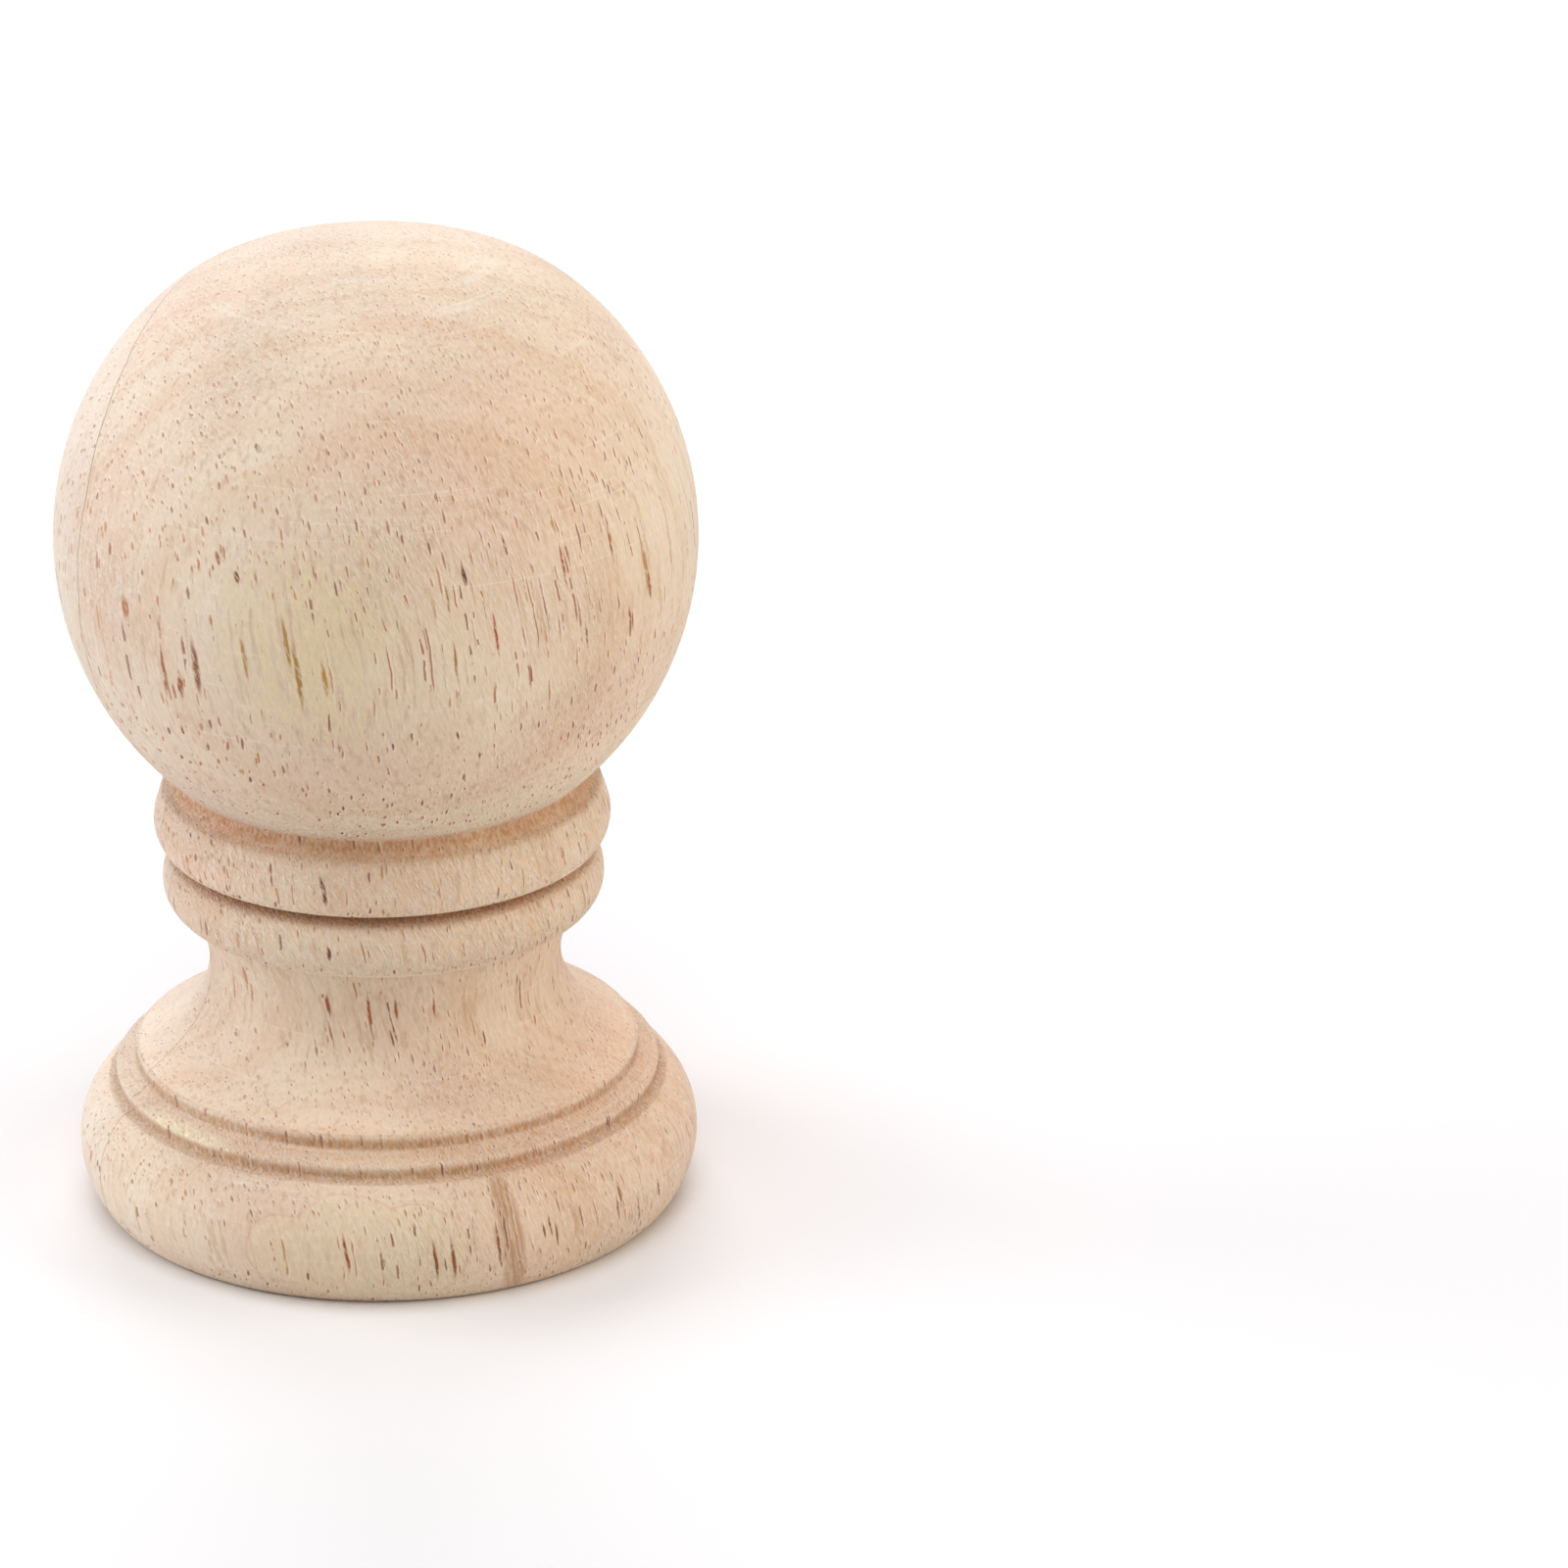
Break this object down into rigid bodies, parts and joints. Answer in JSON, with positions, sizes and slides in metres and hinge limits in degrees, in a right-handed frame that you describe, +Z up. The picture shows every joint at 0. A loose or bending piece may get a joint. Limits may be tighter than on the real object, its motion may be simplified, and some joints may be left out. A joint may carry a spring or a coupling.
{
  "type": "curtain pole finial",
  "caption": "Turned wooden ball finial for the end of a curtain pole, on a ringed collar and a stepped round base, with a blind screw hole in its foot.",
  "frame": {"origin": "centre of the flat foot, where the base meets the pole's end", "axes": "+Z up the turning axis from the foot to the crown of the ball"},
  "size_m": [0.07, 0.07, 0.1105],
  "materials": {
    "rubberwood": "turned and sanded, left bare"
  },
  "bodies": {
    "root": {"finial": "rubberwood"}
  },
  "joints": []
}
